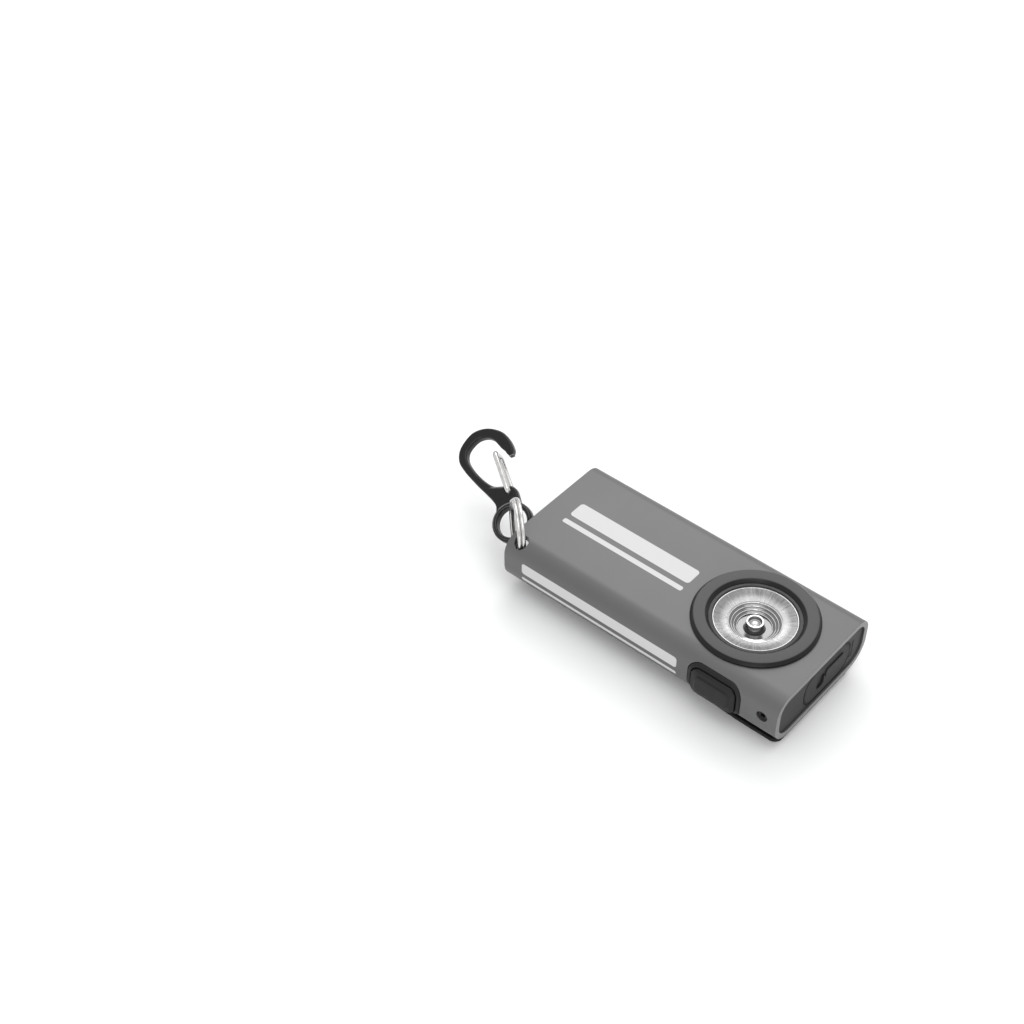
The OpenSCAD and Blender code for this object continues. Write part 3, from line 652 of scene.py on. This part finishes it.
nickel = Finish("nickel_plate", Metallic=1.0, Specular_IOR_Level=0.5)
handled = nickel.noise(0.8, detail=4.0, roughness=0.6)
rubbed = nickel.noise(0.12, detail=2.0, stretch=(1.0, 1.0, 0.2))
nickel.feed("Base Color", nickel.colours(handled, grey(0.5, 0.01), grey(0.8, 0.01)))
nickel.feed("Roughness", 0.14 + 0.16 * handled)
nickel.relief(rubbed, 0.006)
ring = surface("wound_split_ring", [(ring_grid, False, True)], nickel.material, crease=60.0)
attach(ring, "ring")
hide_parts("split_ring")

# %% [markdown]
# ## The snap hook
#
# The hook is cast, then plated a dark gunmetal. Castings have no sharp edges: every edge has a
# draft and a radius, and a highlight is painted bright along them. The eye is a turned ring with
# raised lips. From it, one section is carried up the neck, along the spine, round the loop and
# down to the nose. At each station the section spans from the outer outline to the inner one,
# so two lines of stations give the whole shape, and smooth curves are drawn through them.

# %% The hook's own axes
HOOK_LEAN = math.radians(34.5)
HOOK_TURN = math.radians(144)
EYE_CENTRE = RING_CENTRE + np.array([-3.73, 3.11, -2.29])
tilted_y = np.array([0.0, math.cos(HOOK_LEAN), math.sin(HOOK_LEAN)])
hook_normal = np.array([0.0, -math.sin(HOOK_LEAN), math.cos(HOOK_LEAN)])
hook_along = math.cos(HOOK_TURN) * np.array([1.0, 0.0, 0.0]) + math.sin(HOOK_TURN) * tilted_y
hook_left = np.cross(hook_normal, hook_along)
HOOK_AXES = np.stack([hook_along, hook_left, hook_normal])


def on_hook(grid):
    """Points (p, s, n) of the hook's own axes in the row frame: eye + p along + s left + n up."""
    return EYE_CENTRE + grid @ HOOK_AXES


def smooth_through(stations, steps):
    """Curve through stations: cubic pieces whose slope at a station is half of the step between
    its neighbours, sampled evenly from the first station to the last."""
    stations = np.asarray(stations, float)
    slope = np.gradient(stations, axis=0)
    t = np.linspace(0, len(stations) - 1, steps)
    i = np.minimum(t.astype(int), len(stations) - 2)
    f = (t - i)[:, None]
    start = (1 + 2 * f) * (1 - f) ** 2 * stations[i] + f * (1 - f) ** 2 * slope[i]
    end = f**2 * (3 - 2 * f) * stations[i + 1] + f**2 * (f - 1) * slope[i + 1]
    return start + end


# %% Cast the eye, neck, spine, loop and nose
EYE_HOLE_R, EYE_R, HOOK_HALF_T = 3.0, 4.05, 1.0
eye_profile = rounded_outline(
    [
        (EYE_HOLE_R, -0.72),
        (EYE_HOLE_R, 0.72),
        (EYE_HOLE_R + 0.2, HOOK_HALF_T),
        (EYE_R - 0.42, HOOK_HALF_T),
        (EYE_R, 0.62),
        (EYE_R, -0.62),
        (EYE_R - 0.42, -HOOK_HALF_T),
        (EYE_HOLE_R + 0.2, -HOOK_HALF_T),
    ],
    [0.12] * 8,
)
eye_grid, _, _ = turned(eye_profile, 96)

# Columns: outer p, outer s, inner p, inner s, half thickness.
hook_stations = [
    (3.28, 2.35, 3.05, -2.72, 0.84),
    (4.5, 2.0, 4.4, -2.86, 0.86),
    (5.8, 2.32, 5.8, -2.84, 0.88),
    (7.1, 2.85, 6.75, -2.3, 0.9),
    (8.3, 3.38, 7.35, -0.9, 0.92),
    (9.5, 3.95, 8.2, 0.95, 0.94),
    (11.2, 4.65, 10.0, 2.35, 0.96),
    (13.6, 5.55, 12.9, 3.72, 0.98),
    (16.0, 6.05, 15.6, 4.35, 0.98),
    (18.1, 5.4, 17.3, 3.85, 0.98),
    (19.6, 3.8, 18.25, 2.6, 0.98),
    (20.6, 1.6, 18.75, 1.0, 0.98),
    (20.4, -0.7, 18.4, -0.6, 0.98),
    (19.4, -2.6, 17.4, -1.75, 0.98),
    (17.8, -4.15, 16.1, -2.35, 0.98),
    (15.9, -4.85, 15.0, -2.75, 0.98),
    (14.2, -5.0, 14.1, -3.25, 0.96),
    (12.7, -4.75, 12.8, -3.45, 0.9),
]
line = smooth_through(hook_stations, 150)
outer, inner, half_t = line[:, 0:2], line[:, 2:4], line[:, 4]
middle = (outer + inner) / 2
half_w = np.linalg.norm(outer - inner, axis=1) / 2
flat = np.zeros((len(line), 1))
across = np.hstack([(outer - inner) / (2 * half_w[:, None]), flat])
up = np.broadcast_to(np.array([0.0, 0.0, 1.0]), across.shape)
nose_round = 1 - 0.3 * eased((np.arange(len(line)) - 143) / 6)
body_grid = swept(
    np.hstack([middle, flat]),
    across,
    up,
    half_w * nose_round,
    half_t * nose_round,
    np.minimum(0.42, half_w * 0.45) * nose_round,
)

# %% [markdown]
# The painted highlight follows the edges, so the mask for it has to know where they are. The Bevel node
# gives the normal that a rounded edge would have, and where that differs from the true normal there
# is an edge: one minus their dot product is the mask.

# %% Gunmetal, with a painted highlight along its edges
gunmetal = Finish("gunmetal_plate", Metallic=0.85, Specular_IOR_Level=0.5)
cast_skin = gunmetal.noise(0.3, detail=3.0, roughness=0.6)
highlight_breakup = gunmetal.noise(1.6, detail=2.0)
true_normal = gunmetal.node("ShaderNodeNewGeometry", output="True Normal")
rounded_normal = gunmetal.soft_edge(0.22)
likeness = gunmetal.node(
    "ShaderNodeVectorMath",
    {"operation": "DOT_PRODUCT"},
    {0: true_normal, 1: rounded_normal},
    "Value",
)
# A painted highlight along the edges, broken up into patches by noise.
painted_edge_highlight = (1 - likeness).between(0.005, 0.08) * highlight_breakup.between(0.15, 0.55)
plate = gunmetal.colours(cast_skin, grey(0.02), grey(0.036))
gunmetal.feed("Base Color", gunmetal.colours(painted_edge_highlight, plate, grey(0.4)))
gunmetal.feed("Roughness", 0.3 + 0.12 * cast_skin - 0.1 * painted_edge_highlight)
gunmetal.relief(cast_skin, 0.02)
hook = surface(
    "snap_hook",
    [(on_hook(eye_grid), True, True), (on_hook(body_grid), False, True)],
    gunmetal.material,
    crease=70.0,
)
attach(hook, "hook")
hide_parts("hook_body")

# %% [markdown]
# ## The gate
#
# The gate is one bent wire: a pin through the neck, a leg along each face of the hook and a
# cross-piece behind the nose. Its middle line is a rectangle with rounded corners, so the same
# rounded loop that shaped the button gives the path, and a round section follows it.

# %% Bend the gate's wire
GATE_PIVOT = np.array([5.75, -1.45])
GATE_END = 14.3
GATE_WIRE_R = 0.5
GATE_SIDE_GAP = 0.12
gate_half_n = HOOK_HALF_T + GATE_WIRE_R + GATE_SIDE_GAP
gate_mid_p = (GATE_PIVOT[0] + GATE_END) / 2
u, v = rounded_loop((GATE_END - GATE_PIVOT[0]) / 2, gate_half_n, 0.8, 10)
gate_line = np.stack([gate_mid_p + u[0], np.full(u.shape[1], GATE_PIVOT[1]), v[0]], axis=-1)
gate_ahead = np.roll(gate_line, -1, axis=0) - np.roll(gate_line, 1, axis=0)
gate_ahead /= np.linalg.norm(gate_ahead, axis=1, keepdims=True)
gate_flat = np.broadcast_to(np.array([0.0, 1.0, 0.0]), gate_ahead.shape)
gate_over = np.cross(gate_ahead, gate_flat)
wire_angle = np.linspace(0, 2 * np.pi, 16, endpoint=False)[None, :, None]
gate_grid = gate_line[:, None] + GATE_WIRE_R * (
    np.cos(wire_angle) * gate_flat[:, None] + np.sin(wire_angle) * gate_over[:, None]
)
gate = surface("wire_gate", [(on_hook(gate_grid), True, True)], nickel.material, crease=60.0)
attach(gate, "gate")
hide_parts("hook_gate")

# %% [markdown]
# ## The charging end
#
# The end cap and its flap are right as they are in the model, so they keep their meshes. Their
# finish does the rest: moulded plastic has a fine spark-eroded grain, and a small bevel is
# faked in the normals so that each edge catches a line of light.

# %% Moulded plastic, flap rubber and black screws


def moulded(name, dark, light, roughness, grain_size, depth, edge):
    """Finish of a moulded part: a fine grain in its colour, gloss and relief."""
    finish = Finish(name, Specular_IOR_Level=0.25)
    grain = finish.noise(grain_size, detail=3.0, roughness=0.6)
    drift = finish.noise(grain_size * 25, detail=1.0)
    mixed = 0.6 * grain + 0.4 * drift
    finish.feed("Base Color", finish.colours(mixed, dark, light))
    finish.feed("Roughness", roughness + 0.14 * grain)
    finish.relief(grain, depth, edge)
    return finish


FLAP_MIDDLE = (1.85, MID_Z)
FLAP_HALF = (7.0, 3.7)
FLAP_CORNER = 3.2
SEAM = 0.28
SEAM_DEPTH = 0.5


def with_seam_shadow(finish):
    """Paints shadow into a finish as a near-black band, and dents its normals, beside the flap's
    outline, where rubber and cap are rounded off into the gap. The seam is the band between two
    rounded bars, one larger and one smaller than the flap, and only the lens end, where x is above 0, has
    it."""
    grown = [half + SEAM for half in FLAP_HALF]
    shrunk = [half - SEAM for half in FLAP_HALF]
    outer = bar_mask(finish.y, finish.z, FLAP_MIDDLE, grown, FLAP_CORNER)
    inner = bar_mask(finish.y, finish.z, FLAP_MIDDLE, shrunk, FLAP_CORNER)
    seam = (outer - inner) * finish.x.between(0.0, 1.0)
    shown = Signal(finish, finish.shader.inputs["Base Color"].links[0].from_socket)
    # The near-black band is painted shadow in the gap between the flap and the cap.
    finish.feed("Base Color", finish.colours(seam, shown, grey(0.001)))
    finish.relief(1 - seam, SEAM_DEPTH, SEAM / 2)
    return finish


cap_plastic = moulded("cap_plastic", grey(0.008), grey(0.015), 0.42, 0.12, 0.012, 0.1)
flap_rubber = moulded("flap_rubber", grey(0.013), grey(0.021), 0.5, 0.14, 0.01, 0.12)
wear(["lens_end_cap", "tail_plug"], with_seam_shadow(cap_plastic))
wear(["usb_flap", "flap_tether"], with_seam_shadow(flap_rubber))
wear(["cap_screws", "clip_screws"], moulded("black_screws", grey(0.012), grey(0.025), 0.3, 0.1, 0.006, 0.06))

# %% [markdown]
# ## Inside the tube
#
# The parts inside show in section views and when pieces are taken off. Each gets the finish of
# what it really is: solder mask, chip plastic, foil, foam, plated steel and wire insulation.

# %% Finishes of the inner parts
wear(["chassis_tray"], moulded("tray_plastic", grey(0.1), grey(0.14), 0.5, 0.2, 0.015, 0.1))
wear(["lens_holder"], moulded("holder_plastic", grey(0.02), grey(0.035), 0.5, 0.2, 0.012, 0.08))
chip_plastic = moulded("chip_plastic", grey(0.02), grey(0.04), 0.4, 0.1, 0.01, 0.06)
wear(["driver_chips", "usb_tongue", "tact_switch"], chip_plastic)
wear(["lens_gasket"], moulded("gasket_silicone", grey(0.02), grey(0.03), 0.55, 0.3, 0.01, 0.0))
wear(["battery_foam"], moulded("open_foam", grey(0.015), grey(0.06), 0.9, 0.5, 0.15, 0.0))
DARK_GREEN, LIGHT_GREEN = (0.01, 0.09, 0.035), (0.02, 0.14, 0.06)
DARK_WIRE, LIGHT_WIRE = (0.35, 0.01, 0.01), (0.5, 0.02, 0.02)
DARK_RED, LIGHT_RED = (0.25, 0.02, 0.02), (0.35, 0.04, 0.03)
wear(["main_pcb"], moulded("green_solder_mask", DARK_GREEN, LIGHT_GREEN, 0.25, 0.6, 0.02, 0.0))
wear(["led_board"], moulded("white_solder_mask", grey(0.72), grey(0.82), 0.35, 0.5, 0.01, 0.05))
wear(["battery_wires"], moulded("red_insulation", DARK_WIRE, LIGHT_WIRE, 0.35, 0.4, 0.01, 0.0))
wear(["switch_plunger"], moulded("plunger_plastic", DARK_RED, LIGHT_RED, 0.3, 0.3, 0.01, 0.05))
wear(["led_emitter"], moulded("phosphor", (0.75, 0.55, 0.08), (0.85, 0.68, 0.15), 0.3, 0.15, 0.01, 0.05))
wear(["usb_receptacle", "clip_backing_plate"], nickel)

foil = Finish("cell_foil", Metallic=0.9)
crinkle = foil.noise(1.8, detail=4.0, roughness=0.55)
foil.feed("Base Color", foil.colours(crinkle, grey(0.55), grey(0.72)))
foil.feed("Roughness", 0.25 + 0.2 * crinkle)
foil.relief(crinkle, 0.08, edge=0.3)
wear(["battery_cell"], foil)

# %% [markdown]
# ## Floor and light
#
# A product on white needs a floor that is nearly white and light from everywhere, with one
# larger source from behind so that the top face takes a gentle sheen, and a soft shadow falls
# towards the viewer. The world gives the even part. Three large area lights shape the metal.

# %% Floor, world and lights
FLOOR_HALF = 900.0
floor_finish = Finish("pale_floor", Roughness=0.6)
floor_finish.feed("Base Color", (0.93, 0.935, 0.94, 1.0))
floor_mesh = bpy.data.meshes.new("floor")
floor_corners = [(-FLOOR_HALF, -FLOOR_HALF, 0), (FLOOR_HALF, -FLOOR_HALF, 0)]
floor_corners += [(FLOOR_HALF, FLOOR_HALF, 0), (-FLOOR_HALF, FLOOR_HALF, 0)]
floor_mesh.from_pydata([tuple(c * MM for c in corner) for corner in floor_corners], [], [(0, 1, 2, 3)])
floor_mesh.materials.append(floor_finish.material)
floor = bpy.data.objects.new("floor", floor_mesh)
bpy.context.scene.collection.objects.link(floor)

world = bpy.data.worlds.new("studio")
world.use_nodes = True
world.node_tree.nodes["Background"].inputs["Color"].default_value = (1.0, 1.0, 1.0, 1.0)
world.node_tree.nodes["Background"].inputs["Strength"].default_value = 0.85
bpy.context.scene.world = world
bpy.context.scene.view_settings.view_transform = "Standard"


def soft_box(name, at, aim, size, watts):
    """A square area light at a point in millimetres, turned towards another."""
    data = bpy.data.lights.new(name, "AREA")
    data.shape = "SQUARE"
    data.size = size * MM
    data.energy = watts
    lamp = bpy.data.objects.new(name, data)
    bpy.context.scene.collection.objects.link(lamp)
    lamp.matrix_world = aimed(at, aim)


soft_box("back_soft_box", (-160, 260, 300), (-15, 0, 5), 300, 0.55)
soft_box("top_soft_box", (60, -40, 380), (-15, 0, 5), 260, 0.35)
soft_box("front_soft_box", (180, -260, 120), (-15, 0, 5), 200, 0.1)
